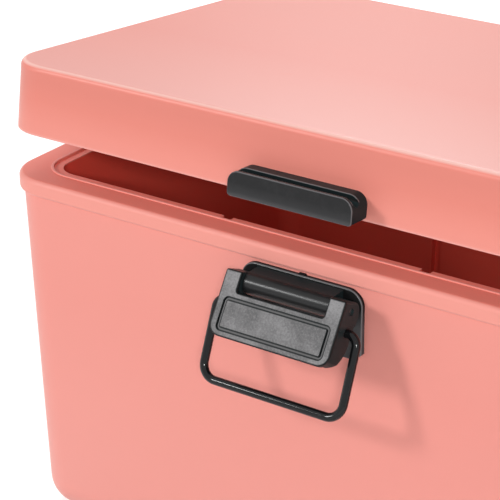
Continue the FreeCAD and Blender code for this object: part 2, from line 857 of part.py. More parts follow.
os.makedirs("parts", exist_ok=True)
for name, shape in nodes.items():
    shape.exportStep("parts/" + name + ".step")
    print(name, len(shape.Solids), "solids, valid", shape.isValid())
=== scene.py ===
"""Looks of a hinged, double-walled storage box with a wire draw latch on its front.

Laid out as an add-on: sizes and colours are properties, and each group of pieces is an operator.
"""

import json
import math

import bmesh
import bpy
from bpy.props import FloatProperty, FloatVectorProperty, IntProperty, PointerProperty
from mathutils import Matrix, Vector


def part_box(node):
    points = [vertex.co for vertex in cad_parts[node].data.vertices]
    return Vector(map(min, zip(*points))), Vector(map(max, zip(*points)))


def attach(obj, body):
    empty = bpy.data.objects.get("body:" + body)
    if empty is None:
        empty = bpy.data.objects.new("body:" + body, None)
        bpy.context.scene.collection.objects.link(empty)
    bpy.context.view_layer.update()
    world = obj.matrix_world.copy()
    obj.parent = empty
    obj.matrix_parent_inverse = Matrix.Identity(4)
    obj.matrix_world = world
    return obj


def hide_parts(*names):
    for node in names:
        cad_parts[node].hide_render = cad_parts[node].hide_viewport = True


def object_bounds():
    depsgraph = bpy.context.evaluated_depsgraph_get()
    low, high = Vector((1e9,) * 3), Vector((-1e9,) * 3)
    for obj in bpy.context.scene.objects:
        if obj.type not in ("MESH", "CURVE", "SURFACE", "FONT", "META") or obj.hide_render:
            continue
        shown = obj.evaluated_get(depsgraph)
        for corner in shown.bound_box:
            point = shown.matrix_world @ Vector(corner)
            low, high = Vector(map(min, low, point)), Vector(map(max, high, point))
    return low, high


bl_info = {
    "name": "Latched Storage Box",
    "version": (1, 0, 0),
    "blender": (4, 5, 0),
    "location": "3D View > Sidebar > Storage Box",
    "description": "Finishes a hinged storage box: plastics, seal, latch, wire bail, hinges and stage",
    "category": "Object",
}

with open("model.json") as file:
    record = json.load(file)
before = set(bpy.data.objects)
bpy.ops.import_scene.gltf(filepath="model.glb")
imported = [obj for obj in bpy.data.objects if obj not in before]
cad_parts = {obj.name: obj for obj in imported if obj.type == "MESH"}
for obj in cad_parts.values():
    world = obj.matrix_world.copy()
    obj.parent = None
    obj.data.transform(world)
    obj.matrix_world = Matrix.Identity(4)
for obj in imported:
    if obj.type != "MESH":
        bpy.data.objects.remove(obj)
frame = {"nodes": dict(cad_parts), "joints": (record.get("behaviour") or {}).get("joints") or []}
cad_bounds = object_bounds()
joints = {joint["name"]: joint for joint in frame["joints"]}


# Properties

def length(name, description, default):
    return FloatProperty(name=name, description=description, default=default, unit="LENGTH", precision=5)


def share(name, description, default):
    return FloatProperty(
        name=name, description=description, default=default, subtype="FACTOR", min=0.0, max=1.0
    )


def angle(name, description, degrees):
    return FloatProperty(
        name=name, description=description, default=math.radians(degrees), subtype="ANGLE"
    )


def watts(name, description, default):
    return FloatProperty(
        name=name, description=f"Power of {description} in watts", default=default, min=0.0
    )


def colour(name, description, default):
    return FloatVectorProperty(
        name=name, description=description, default=default, subtype="COLOR", min=0.0, max=1.0
    )


class PlasticColours(bpy.types.PropertyGroup):
    """Colours and surfaces of the moulded pieces."""

    coral: colour("Coral", "Colour of the liner and the lid", (0.87, 0.272, 0.215))
    # Painted sheen: the shell's coral is paler than the lid's and stands for the floor's reflection on
    # its walls.
    coral_shell_painted_sheen: colour("Shell coral", "Colour of the outer shell", (0.87, 0.32, 0.272))
    # Painted shade: this dark, strong red stands for the shade inside the box and is painted on the walls
    # of the tub, while the rim of the same liner keeps the coral.
    coral_painted_shade: colour("Deep coral", "Colour of the walls inside the box", (0.93, 0.105, 0.068))
    # Painted light: this paler coral stands for sheen, highlights and the floor's reflection painted onto
    # the shell, the lid and the liner, not for rubbed edges.
    coral_painted_light: colour("Pale coral", "Colour of rubbed edges of the coral plastic", (0.92, 0.45, 0.40))
    coral_roughness: share("Coral roughness", "Roughness of the coral plastic", 0.36)
    coral_gloss: share("Coral gloss", "Specular level of the shell and the lid", 0.28)
    liner_gloss: share("Liner gloss", "Specular level of the liner", 0.15)
    lever_grey: colour("Lever grey", "Colour of the lever's textured face", (0.192, 0.189, 0.192))
    # Tinted blue-green so that the lever's sides stay neutral in the warm light off the coral walls.
    lever_black: colour("Lever black", "Colour of the lever's smooth sides", (0.022, 0.033, 0.035))
    latch_black: colour("Latch black", "Colour of the latch base and the hinges", (0.030, 0.030, 0.031))
    keeper_black: colour("Keeper black", "Colour of the keeper on the lid", (0.026, 0.026, 0.027))
    latch_roughness: share("Latch roughness", "Roughness of the latch base and the hinges", 0.36)
    keeper_roughness: share("Keeper roughness", "Roughness of the keeper", 0.38)
    sleeve_roughness: share("Sleeve roughness", "Roughness of the sleeves in the lever", 0.4)
    seal_grey: colour("Seal grey", "Colour of the soft seal", (0.10, 0.10, 0.105))
    foam: colour("Foam", "Colour of the rigid filling", (0.82, 0.74, 0.55))


class MetalColours(bpy.types.PropertyGroup):
    """Colours of the metal pieces."""

    zinc: colour("Zinc", "Colour of plated pins and screws", (0.50, 0.51, 0.53))
    wire_coating: colour("Wire coating", "Colour of the coated bail", (0.007, 0.007, 0.008))


class LeverSizes(bpy.types.PropertyGroup):
    """Sizes of the lever's face, which the painted shade on its smooth border and in its groove follows.
    """

    head: length("Head", "How far the lever's head stands above its face", 0.0013)
    length: length("Length", "Length of the face", 0.0269)
    corner: length("Corner", "Radius of the face's lower corners", 0.0050)
    ear: length("Ear", "Width of each ear beside the slot", 0.0074)
    slot: length("Slot", "Depth of the slot between the ears", 0.0084)
    slot_corner: length("Slot corner", "Radius of the slot's lower corners", 0.0012)
    border: length("Border", "Width of the smooth border", 0.0008)
    panel_side: length("Panel side", "From the side of the face to the groove", 0.0031)
    panel_top: length("Panel top", "From the slot to the groove", 0.0024)
    panel_foot: length("Panel foot", "From the foot of the face to the groove", 0.0024)
    panel_corner: length("Panel corner", "Outer radius of the groove's corners", 0.0020)
    groove: length("Groove", "Width of the groove", 0.0013)


class BailSizes(bpy.types.PropertyGroup):
    """Sizes of the bent wire loop."""

    wire: length("Wire", "Diameter of the wire", 0.0036)
    corner: length("Corner", "Radius of the bends at the foot of the loop", 0.0065)
    hook: length("Hook", "Radius of the bends at the lever", 0.0045)
    tail: length("Tail", "How far each end runs in from its leg", 0.0098)
    facets: IntProperty(name="Facets", description="Sides of the wire's section", default=32, min=8)


class SealSizes(bpy.types.PropertyGroup):
    """Sizes of the soft ring under the lid."""

    width: length("Width", "Width of the ring", 0.0042)
    corner: length("Corner", "Radius of the ring's outer corners", 0.0130)
    foot: share("Foot", "Share of the width that the upper, glued foot takes", 0.92)
    shoulder: share("Shoulder", "Share of the height over which the sides stand straight", 0.3)
    bulb: IntProperty(name="Bulb", description="Steps round the bulb", default=12, min=4)
    facets: IntProperty(name="Facets", description="Steps round each corner", default=16, min=4)


class ScrewSizes(bpy.types.PropertyGroup):
    """Sizes of the countersunk hinge screws."""

    head: length("Head", "Diameter of the head", 0.006)
    shank: length("Shank", "Diameter of the shank", 0.003)
    arm: length("Recess arm", "How far the cross recess reaches from the middle", 0.0017)
    slot: length("Recess slot", "Width of the cross recess", 0.0009)
    depth: length("Recess depth", "Depth of the cross recess", 0.0012)
    edge: share("Edge", "Bevel of the head's edge against its radius", 0.06)
    recess_floor: share("Recess floor", "Size of the recess's floor against its mouth", 0.55)
    straight: share("Straight", "Share of the grip that lies before the tip", 0.85)
    tip: share("Tip", "Radius of the tip against the shank", 0.3)
    turn: angle("Turn", "Turn of the first screw's recess", 20.0)
    turn_step: angle("Turn step", "Further turn of each next screw", 47.0)
    apart: length("Apart", "Gap that tells one screw from the next", 0.01)


class StageSizes(bpy.types.PropertyGroup):
    """Camera, lights and floor."""

    eye: FloatVectorProperty(
        name="Eye", description="Where the camera stands", default=(0.33584, -0.65087, 0.46480),
        subtype="TRANSLATION", unit="LENGTH",
    )
    azimuth: angle("Azimuth", "How far the camera stands round from the front", 33.73)
    elevation: angle("Elevation", "How far the camera looks down", 24.70)
    lens: FloatProperty(name="Lens", description="Focal length in millimetres", default=129.1)
    sensor: FloatProperty(name="Sensor", description="Width of the sensor in millimetres", default=36.0)
    floor: length("Floor", "Width of the floor", 14.0)
    floor_drop: length("Floor drop", "Gap between the box and the floor", 0.0003)
    sky: FloatProperty(name="Sky", description="Strength of the light from all round", default=0.30)
    key: watts("Key", "the main light", 51.5)
    front: watts("Front", "the light in front", 16.0)
    rear: watts("Rear", "the broad light behind", 13.5)
    sheen: watts("Sheen", "the small low light behind", 4.2)


class StorageBox(bpy.types.PropertyGroup):
    """Everything that a user would change."""

    plastics: PointerProperty(type=PlasticColours)
    metals: PointerProperty(type=MetalColours)
    lever: PointerProperty(type=LeverSizes)
    bail: PointerProperty(type=BailSizes)
    seal: PointerProperty(type=SealSizes)
    screws: PointerProperty(type=ScrewSizes)
    stage: PointerProperty(type=StageSizes)


# Node trees

class Socket:
    """An output of a node that can be used in sums."""

    def __init__(self, graph, socket):
        self.graph = graph
        self.socket = socket

    def out(self, name):
        """Another output of the same node."""
        return Socket(self.graph, self.socket.node.outputs[name])

    def _sum(self, operation, first, second):
        return self.graph.node("ShaderNodeMath", {"operation": operation}, {0: first, 1: second})

    def __add__(self, other):
        return self._sum("ADD", self, other)

    def __radd__(self, other):
        return self._sum("ADD", other, self)

    def __sub__(self, other):
        return self._sum("SUBTRACT", self, other)

    def __rsub__(self, other):
        return self._sum("SUBTRACT", other, self)

    def __mul__(self, other):
        return self._sum("MULTIPLY", self, other)

    def __rmul__(self, other):
        return self._sum("MULTIPLY", other, self)

    def at_most(self, other):
        return self._sum("MINIMUM", self, other)

    def at_least(self, other):
        return self._sum("MAXIMUM", self, other)

    def size(self):
        """The value without its sign."""
        return self.graph.node("ShaderNodeMath", {"operation": "ABSOLUTE"}, {0: self})

    def root(self):
        return self.graph.node("ShaderNodeMath", {"operation": "SQRT"}, {0: self})


class Graph:
    """A node tree with one method that adds a node."""

    def __init__(self, tree):
        self.tree = tree

    def node(self, kind, settings=None, inputs=None, output=0):
        """Adds a node: its settings first, then the values or links of its sockets."""
        made = self.tree.nodes.new(kind)
        for name, value in (settings or {}).items():
            setattr(made, name, value)
        for key, value in (inputs or {}).items():
            if isinstance(value, Socket):
                self.tree.links.new(value.socket, made.inputs[key])
            else:
                made.inputs[key].default_value = value
        return Socket(self, made.outputs[output]) if made.outputs else None

    def seen(self):
        """1 for what is seen straight, mirrored or through a clear piece, and 0 for other light."""
        ray = self.node("ShaderNodeLightPath", output="Is Camera Ray")
        return (ray + ray.out("Is Glossy Ray") + ray.out("Is Transmission Ray")).at_most(1.0)


class Finish(Graph):
    """A material and the nodes that every finish here shares."""

    def __init__(self, name):
        self.material = bpy.data.materials.new(name)
        self.material.use_nodes = True
        super().__init__(self.material.node_tree)
        self.tree.nodes.clear()
        self.place = self.node("ShaderNodeTexCoord", output="Object")

    def noise(self, size, detail=2.0, roughness=0.5, stretch=None):
        """Cloudy noise from 0 to 1 whose lumps are about one size across, in metres."""
        place = self.place
        if stretch:
            inputs = {"Vector": place, "Scale": stretch}
            place = self.node("ShaderNodeMapping", {"vector_type": "TEXTURE"}, inputs)
        inputs = {"Vector": place, "Scale": 1.0 / size, "Detail": detail, "Roughness": roughness}
        return self.node("ShaderNodeTexNoise", None, inputs, "Fac")

    def cells(self, size):
        """Distance to the nearest of many scattered points, about one size apart."""
        inputs = {"Vector": self.place, "Scale": 1.0 / size}
        return self.node("ShaderNodeTexVoronoi", None, inputs, "Distance")

    def above(self, value, low, high):
        """From 0 at the low value to 1 at the high one."""
        return self.node("ShaderNodeMapRange", None, {"Value": value, "From Min": low, "From Max": high})

    def below(self, value, low, high):
        """From 1 at the low value to 0 at the high one."""
        return 1.0 - self.above(value, low, high)

    def stripe(self, value, start, full, fade, end):
        """From 0 at the start to 1 where it is full, and from the fade to 0 at the end."""
        return self.above(value, start, full) * self.below(value, fade, end)

    def outside(self, across, down, half, top, foot, corner):
        """Distance outside a rectangle with round corners, less than 0 inside it."""
        middle = (top + foot) / 2
        beside = (across.size() - (half - corner)).at_least(0.0)
        beyond = ((down - middle).size() - (foot - middle - corner)).at_least(0.0)
        return (beside * beside + beyond * beyond).root() - corner

    def along(self, way, start):
        """Distance past a start along a direction, in metres."""
        inputs = {0: self.place, 1: tuple(way)}
        return self.node("ShaderNodeVectorMath", {"operation": "DOT_PRODUCT"}, inputs, "Value") - start

    def depth(self, node, way):
        """Distance along a direction from where a solid of the frame begins."""
        start = min(Vector(way).dot(vertex.co) for vertex in frame["nodes"][node].data.vertices)
        return self.along(way, start)

    def mix(self, factor, first, second):
        """Colour between two colours."""
        settings = {"data_type": "RGBA", "blend_type": "MIX"}
        return self.node("ShaderNodeMix", settings, {0: factor, 6: rgba(first), 7: rgba(second)}, 2)

    def bump(self, height, depth, under=None):
        """Normal over a height from 0 to 1 that stands for a depth in metres."""
        inputs = {"Strength": 1.0, "Distance": depth, "Height": height}
        if under:
            inputs["Normal"] = under
        return self.node("ShaderNodeBump", None, inputs)

    def surface(self, **inputs):
        """Ends the tree in one principled surface, with its sockets by their names."""
        labels = [name.replace("_", " ").title().replace("Ior", "IOR") for name in inputs]
        shader = self.node("ShaderNodeBsdfPrincipled", None, dict(zip(labels, inputs.values())))
        self.node("ShaderNodeOutputMaterial", None, {"Surface": shader})
        return self.material


def rgba(value):
    return value if isinstance(value, Socket) else (value[0], value[1], value[2], 1.0)


def toned(value, factor):
    return tuple(min(1.0, channel * factor) for channel in value)


COOLING = (0.55, 0.95, 1.0)


def cooled(value):
    """A black that stays neutral in the warm light beside the coral walls."""
    return tuple(channel * factor for channel, factor in zip(value, COOLING))


# Where the tones of the pieces change, in metres: a mask fades between each pair of values.
# Each is measured along the piece's own directions, from the side that the finish names.

# Most of these masks place painted shade, sheen or highlights, as the finishes below say.
SHELL_PAINTED_SHEEN = (0.02, 0.12)

LID_SKIRT = (0.001, 0.003)
LID_UNDER_EDGE = (0.006, 0.024)
LID_TOP = (0.0002, 0.0012)
LID_TOP_FRONT = (0.0, 0.09)
LID_EDGE = (0.00002, 0.0002, 0.0004, 0.0012)
LID_FOOT = (0.0004, 0.0013)
LID_FOOT_FADE = (0.0, 0.016)

TUB_HALF_LENGTH = (0.146, 0.147)
TUB_HALF_DEPTH = (0.1015, 0.1025)
LINER_BEAD = (0.0001, 0.0004)
LINER_BAND = (0.0005, 0.0007)
LINER_WALL = (0.0012, 0.0018)
LINER_BAND_FOOT = (0.0068, 0.0076)

LEVER_EARS = (0.006, 0.011)
LEVER_BEHIND_FACE = (0.00008, 0.0003)
LEVER_RIM = (0.00015, 0.00025, 0.0004, 0.0005)
LEVER_GROOVE = (0.0007, 0.0012)

KEEPER_TOP = (0.0022, 0.0026)
KEEPER_FACE_EDGE = (0.00004, 0.0002, 0.0004, 0.0007)
KEEPER_LIP = (0.0013, 0.0015, 0.0017, 0.00183)
KEEPER_BACK = (0.00618, 0.00625, 0.0065, 0.0068)
KEEPER_GROOVE = (0.0018, 0.0019, 0.0061, 0.0062)
KEEPER_FOOT = (0.0004, 0.0022)
KEEPER_FOOT_FADE = (0.001, 0.006)
KEEPER_SIDES = (0.0003, 0.0009)

PLATE_EDGE = (0.00005, 0.0002, 0.0005, 0.0008)
PLATE_FALL = (0.008, 0.016)
BARREL_FRONT = (0.0035, 0.005)
BOSS_BACK = (-0.0006, -0.0002)

# Depths of the grain on black mouldings, in metres

FINE_GRAIN = 0.000002
SLEEVE_GRAIN = 0.000004
MOULD_GRAIN = 0.000006


# Finishes

def coral_plastic(name, base, roughness, gloss, shade=None):
    """Satin moulded plastic: fine mould grain, slow waves in the wall and a faint drift of colour."""
    finish = Finish(name)
    drift = finish.noise(0.09, detail=3.0)
    grain = finish.noise(0.0007, detail=2.0, roughness=0.6)
    waves = finish.noise(0.045, detail=1.0)
    scuffs = finish.above(finish.noise(0.012, detail=5.0, roughness=0.7), 0.62, 0.78)
    tone = finish.mix(drift, toned(base, 0.98), toned(base, 1.02))
    tone = finish.mix(scuffs * 0.05, tone, toned(base, 1.12))
    dull = 0.0
    if shade:
        tone, dull = shade(finish, tone)
    rough = roughness - 0.05 + 0.06 * drift + 0.06 * grain + 0.05 * scuffs + dull
    normal = finish.bump(waves, 0.00010)
    normal = finish.bump(grain, 0.000008, normal)
    return finish.surface(base_color=tone, roughness=rough, specular_ior_level=gloss, normal=normal)


def shell_shade(pale):
    """Tone of the shell: painted sheen, paler towards the foot, standing for the floor's reflection."""
    def shade(finish, tone):
        height = finish.along((0.0, 0.0, 1.0), 0.0)
        # Painted sheen: paler towards the foot.
        return finish.mix(finish.below(height, *SHELL_PAINTED_SHEEN) * 0.3, tone, pale), 0.0
    return shade


def lid_shade(base, pale):
    """Tone of the lid's cover: painted shade, darker on the skirt and most near its top; painted sheen,
    paler on the top towards the front and along the skirt's foot; and a painted highlight on the top
    edge.
    """
    def shade(finish, tone):
        rise = finish.depth("lid_cover", lid_way(2))
        fall = finish.depth("lid_cover", -lid_way(2))
        back = finish.depth("lid_cover", lid_way(1))
        skirt = finish.above(fall, *LID_SKIRT)
        under_edge = skirt * finish.above(rise, *LID_UNDER_EDGE)
        top_front = finish.below(fall, *LID_TOP) * finish.below(back, *LID_TOP_FRONT)
        edge = finish.stripe(fall, *LID_EDGE)
        foot = finish.below(rise, *LID_FOOT) * 0.5 + finish.below(rise, *LID_FOOT_FADE) * 0.2
        # Painted shade: the skirt darker than the top, most just under the top edge.
        tone = finish.mix(skirt * 0.3 + under_edge * 0.6, tone, toned(base, 0.84))
        # Painted sheen: paler on the top towards the front, and paler along and towards the skirt's foot.
        tone = finish.mix(top_front * 0.5 + foot, tone, pale)
        # Painted highlight: paler across the start of the rounded top edge.
        return finish.mix(edge, tone, toned(pale, 1.3)), edge * 0.1
    return shade


def liner_shade(shaded_coral, pale):
    """Tone of the liner: painted shade, a dark red, and dull down the walls of the tub, and painted
    sheen, pale on the band and the bead.
    """
    def shade(finish, tone):
        across = finish.along((1.0, 0.0, 0.0), 0.0).size()
        forth = finish.along((0.0, 1.0, 0.0), 0.0).size()
        _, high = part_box("inner_liner")
        under = finish.along((0.0, 0.0, -1.0), -high.z)
        inside = finish.below(across, *TUB_HALF_LENGTH) * finish.below(forth, *TUB_HALF_DEPTH)
        outside = 1.0 - inside
        # Painted shade: the walls of the tub below the shelf are mixed to the dark red.
        tub = inside * finish.above(under, *LINER_WALL)
        # Painted sheen and highlights: paler on the bead and the band, and paler at the band's foot to
        # lift the shade at the seam.
        bead = finish.below(under, *LINER_BEAD)
        band = outside * finish.above(under, *LINER_BAND)
        foot = outside * finish.above(under, *LINER_BAND_FOOT)
        tone = finish.mix(tub, tone, shaded_coral)
        return finish.mix(bead * 0.5 + band * 0.4 + foot * 0.5, tone, pale), tub * 0.4
    return shade


def lever_edges(finish, sizes):
    """Masks for painted shade: the smooth border of the lever's face, and the lines and the floor of the
    groove on it.
    """
    low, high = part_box("latch_lever")
    half = (high.x - low.x) / 2
    across = finish.along((1.0, 0.0, 0.0), low.x + half)
    down = finish.depth("latch_lever", -lever_way(2))
    slot_half, slot_foot = half - sizes.ear, sizes.head + sizes.slot
    foot = sizes.head + sizes.length
    rim = finish.outside(across, down, half, -foot, foot, sizes.corner)
    slot = finish.outside(across, down, slot_half, -foot, slot_foot, sizes.slot_corner)
    border = finish.above(rim, -sizes.border, -sizes.border / 2)
    border = border.at_least(finish.below(slot, sizes.border / 2, sizes.border))
    border = border.at_least(finish.below(down, sizes.head + sizes.border / 2, sizes.head + sizes.border))
    panel_half, panel_top = half - sizes.panel_side, slot_foot + sizes.panel_top
    panel_foot = foot - sizes.panel_foot
    panel = finish.outside(across, down, panel_half, panel_top, panel_foot, sizes.panel_corner)
    line = sizes.border / 2
    inner = panel + sizes.groove
    outer_line = finish.stripe(panel, -line, -line / 2, line / 2, line)
    inner_line = finish.stripe(inner, -line, -line / 2, line / 2, line)
    floor = finish.above(inner, line / 2, line) * finish.below(panel, -line, -line / 2)
    return border, outer_line.at_least(inner_line), floor


def sparked_grey(name, face, side, sizes):
    """Lever whose face is closely pitted, cloudy and pale, and whose edges and sides are smooth black;
    its ears carry a painted highlight, and its rounded edges, border and groove painted shade.
    """
    finish = Finish(name)
    pits = finish.noise(0.0008, detail=3.0, roughness=0.65)
    crumbs = finish.cells(0.0011)
    clouds = finish.above(finish.noise(0.011, detail=3.0, roughness=0.55), 0.36, 0.66)
    depth = finish.depth("latch_lever", lever_way(1))
    ears = finish.below(finish.depth("latch_lever", -lever_way(2)), *LEVER_EARS)
    border, lines, floor = lever_edges(finish, sizes)
    inside = finish.above(depth, *LEVER_BEHIND_FACE)
    rim = finish.stripe(depth, *LEVER_RIM)
    groove = finish.below(depth, *LEVER_GROOVE)
    tone = finish.mix(clouds, toned(face, 0.74), toned(face, 1.28))
    # Painted highlight: the ears paler.
    tone = finish.mix(ears * 0.6, tone, toned(face, 1.6))
    tone = finish.mix(finish.above(pits, 0.5, 0.68) * 0.35, tone, toned(face, 1.9))
    tone = finish.mix(finish.below(pits, 0.32, 0.48) * 0.35, tone, toned(face, 0.4))
    # Painted shade: the rounded edges and the groove near the face darker than the sides, the groove's
    # floor darker than the face, and the smooth border and the groove's lines darkest.
    tone = finish.mix(inside, tone, finish.mix(groove, side, toned(side, 0.25)))
    tone = finish.mix(groove * floor, tone, toned(face, 0.6))
    tone = finish.mix(groove * border.at_least(lines), tone, toned(side, 0.25))
    smooth = inside.at_least(border)
    rough = 0.44 + 0.14 * pits - 0.10 * smooth
    height = (0.65 * pits + 0.35 * crumbs) * (1.0 - 0.85 * smooth)
    return finish.surface(
        base_color=tone, roughness=rough, specular_ior_level=0.12, normal=finish.bump(height, 0.00005),
        coat_weight=rim * 0.4, coat_roughness=0.2, coat_ior=1.45,
    )


def black_nylon(name, base, roughness, grain_depth, shade=None):
    """Black moulding with a little orange peel, paler rubbed patches and polished places."""
    finish = Finish(name)
    peel = finish.noise(0.0022, detail=2.0)
    grain = finish.noise(0.0005, detail=2.0, roughness=0.6)
    rubbed = finish.above(finish.noise(0.007, detail=4.0, roughness=0.7), 0.52, 0.76)
    tone = finish.mix(rubbed * 0.5, base, toned(base, 1.5))
    polish = 0.0
    if shade:
        tone, polish = shade(finish, tone)
    rough = roughness + 0.05 * peel + 0.08 * rubbed
    normal = finish.bump(peel, 0.000012)
    normal = finish.bump(grain, grain_depth, normal)
    return finish.surface(
        base_color=tone, roughness=rough, specular_ior_level=0.08, normal=normal,
        coat_weight=polish, coat_roughness=0.22, coat_ior=1.45,
    )


def keeper_shade(base):
    """Tone and polish of the keeper: painted highlights, paler along the edges of its face and of its
    groove; painted shade, darker in the groove; and a painted reflection, paler towards the foot of its
    face.
    """
    def shade(finish, tone):
        depth = finish.depth("keeper", lid_way(1))
        rise = finish.depth("keeper", lid_way(2))
        top = finish.below(finish.depth("keeper", -lid_way(2)), *KEEPER_TOP)
        face = finish.stripe(depth, *KEEPER_FACE_EDGE)
        lip = finish.stripe(depth, *KEEPER_LIP)
        back = finish.stripe(depth, *KEEPER_BACK)
        groove = finish.stripe(depth, *KEEPER_GROOVE)
        edges = face + (lip + back) * top
        foot = finish.below(rise, *KEEPER_FOOT) * 0.5 + finish.below(rise, *KEEPER_FOOT_FADE) * 0.3
        # Painted reflection: paler towards the foot of the face.
        tone = finish.mix(foot, tone, toned(base, 3.6))
        tone = finish.mix(finish.above(depth, *KEEPER_SIDES), tone, cooled(base))
        # Painted shade: darker in the groove.
        tone = finish.mix(groove * top, tone, toned(base, 0.15))
        # Painted highlights: paler along the edges of the face, the lip and the back bar.
        return finish.mix(edges, tone, toned(base, 6.0)), edges * 0.6
    return shade


def base_shade(base):
    """Tone and polish of the latch base: glossy barrel; painted shade, darker on the barrel and the top
    of the plate, and painted light lower on the plate; and a painted highlight along the edge round its
    plate.
    """
    def shade(finish, tone):
        band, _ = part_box("inner_liner")
        behind_plate = finish.along((0.0, 1.0, 0.0), band.y)
        edge = finish.stripe(behind_plate, *PLATE_EDGE)
        barrel = finish.below(finish.depth("latch_base", (0.0, 1.0, 0.0)), *BARREL_FRONT)
        boss = (1.0 - barrel) * finish.below(behind_plate, *BOSS_BACK)
        fall = finish.depth("latch_base", (0.0, 0.0, -1.0))
        # Painted shade and light: the plate darker at its top and paler lower down.
        tone = finish.mix(finish.above(fall, *PLATE_FALL), toned(base, 0.4), toned(base, 2.6))
        # Painted shade: the barrel darker.
        tone = finish.mix(barrel, tone, toned(base, 0.6))
        tone = finish.mix(boss, tone, cooled(base))
        # Painted highlight: paler along the edge round the plate.
        return finish.mix(edge, tone, toned(base, 5.0)), barrel * 0.4 + edge * 0.7
    return shade


def coated_wire(name, base):
    """Gloss black coating on steel wire, slightly lumpy and with dulled patches."""
    finish = Finish(name)
    lumps = finish.noise(0.003, detail=2.0)
    dull = finish.above(finish.noise(0.009, detail=4.0, roughness=0.65), 0.5, 0.75)
    tone = finish.mix(dull * 0.4, base, toned(base, 1.9))
    rough = 0.08 + 0.06 * dull + 0.03 * lumps
    return finish.surface(
        base_color=tone, roughness=rough, specular_ior_level=0.28, normal=finish.bump(lumps, 0.00002)
    )


def plated_steel(name, base):
    """Zinc-plated steel, clouded and finely scratched along the pin."""
    finish = Finish(name)
    cloud = finish.noise(0.004, detail=3.0, roughness=0.6)
    scratches = finish.noise(0.0004, detail=2.0, roughness=0.6, stretch=(8.0, 1.0, 1.0))
    tone = finish.mix(cloud, toned(base, 0.82), toned(base, 1.12))
    rough = 0.24 + 0.16 * cloud + 0.06 * scratches
    return finish.surface(
        base_color=tone, metallic=1.0, roughness=rough, normal=finish.bump(scratches, 0.000006)
    )


def soft_rubber(name, base):
    """Matt rubber with a dusty bloom."""
    finish = Finish(name)
    bloom = finish.noise(0.01, detail=5.0, roughness=0.7)
    skin = finish.noise(0.0006, detail=2.0, roughness=0.6)
    tone = finish.mix(bloom, toned(base, 0.8), toned(base, 1.35))
    rough = 0.62 + 0.16 * bloom
    return finish.surface(
        base_color=tone, roughness=rough, specular_ior_level=0.35, normal=finish.bump(skin, 0.00002)
    )


def rigid_foam(name, base):
    """Cut foam: closed cells and a yellowed drift."""
    finish = Finish(name)
    cells = finish.cells(0.0013)
    drift = finish.noise(0.03, detail=3.0)
    tone = finish.mix(cells, toned(base, 1.1), toned(base, 0.7))
    tone = finish.mix(drift * 0.3, tone, toned(base, 0.85))
    return finish.surface(
        base_color=tone, roughness=0.82 + 0.1 * drift, normal=finish.bump(1.0 - cells, 0.0003)
    )


def paint(material, slot, *nodes):
    """Gives solids of the frame one finish."""
    for name in nodes:
        piece = frame["nodes"][name]
        piece.data.materials.clear()
        piece.data.materials.append(material)


# Making pieces with geometry nodes

GEOMETRY = "NodeSocketGeometry"
LENGTH = "NodeSocketFloat"
COUNT = "NodeSocketInt"
MATERIAL = "NodeSocketMaterial"
PIECE = "NodeSocketObject"
TURN = "NodeSocketRotation"


class Recipe(Graph):
    """A geometry node tree with named inputs, run once on a mesh."""

    def __init__(self, name, inputs):
        tree = bpy.data.node_groups.new(name, "GeometryNodeTree")
        super().__init__(tree)
        tree.interface.new_socket("Geometry", in_out="OUTPUT", socket_type=GEOMETRY)
        tree.interface.new_socket("Geometry", in_out="INPUT", socket_type=GEOMETRY)
        self.keys = {}
        for label, kind in inputs.items():
            item = tree.interface.new_socket(label, in_out="INPUT", socket_type=kind)
            self.keys[label] = item.identifier
        self.start = self.node("NodeGroupInput")

    def number(self, name):
        """A number that each point of the mesh brings along."""
        settings = {"data_type": "FLOAT"}
        return self.node("GeometryNodeInputNamedAttribute", settings, {"Name": name}, "Attribute")

    def end(self, geometry, material):
        """Ends the tree in plain mesh with one material."""
        whole = self.node("GeometryNodeRealizeInstances", None, {"Geometry": geometry})
        smooth = self.node("GeometryNodeSetShadeSmooth", None, {"Geometry": whole})
        coated = self.node("GeometryNodeSetMaterial", None, {"Geometry": smooth, "Material": material})
        self.node("NodeGroupOutput", None, {"Geometry": coated})

    def run(self, name, mesh, values, crease=math.radians(40.0)):
        """The recipe's result on a mesh, as a plain object."""
        seed = bpy.data.objects.new(name, mesh)
        bpy.context.scene.collection.objects.link(seed)
        modifier = seed.modifiers.new(name, "NODES")
        modifier.node_group = self.tree
        for label, value in values.items():
            modifier[self.keys[label]] = value
        seed.update_tag()
        evaluated = seed.evaluated_get(bpy.context.evaluated_depsgraph_get())
        made = bpy.data.meshes.new_from_object(evaluated)
        bpy.data.objects.remove(seed)
        if not made.polygons:
            raise RuntimeError(f"{name}: the recipe made nothing")
        made.set_sharp_from_angle(angle=crease)
        piece = bpy.data.objects.new(name, made)
        bpy.context.scene.collection.objects.link(piece)
        return piece


def line_mesh(name, points, edges, **numbers):
    """Mesh of points and edges, with one number a point for each named attribute."""
    mesh = bpy.data.meshes.new(name)
    mesh.from_pydata(points, edges, [])
    for label, values in numbers.items():
        mesh.attributes.new(label, "FLOAT", "POINT").data.foreach_set("value", values)
    return mesh


def chain(count):
    return [(i, i + 1) for i in range(count - 1)]


def joint_turn(name, degrees):
    """Matrix that turns about a joint's line."""
    joint = joints[name]
    place = Matrix.Translation(joint["pos_m"])
    return place @ Matrix.Rotation(math.radians(degrees), 4, Vector(joint["axis"])) @ place.inverted()


def lid_shut():
    """Matrix from the lid as it stands ajar to the lid shut."""
    return joint_turn("lid_hinge", joints["lid_hinge"]["range_deg"][0])


def lid_way(axis):
    """One of the lid's own axes, as the lid stands ajar."""
    return lid_shut().inverted().to_3x3().col[axis]


def lever_way(axis):
    """One of the lever's own axes, as the lever stands lifted."""
    shut = joint_turn("lever_pivot", joints["lever_pivot"]["range_deg"][0])
    return shut.inverted().to_3x3().col[axis]


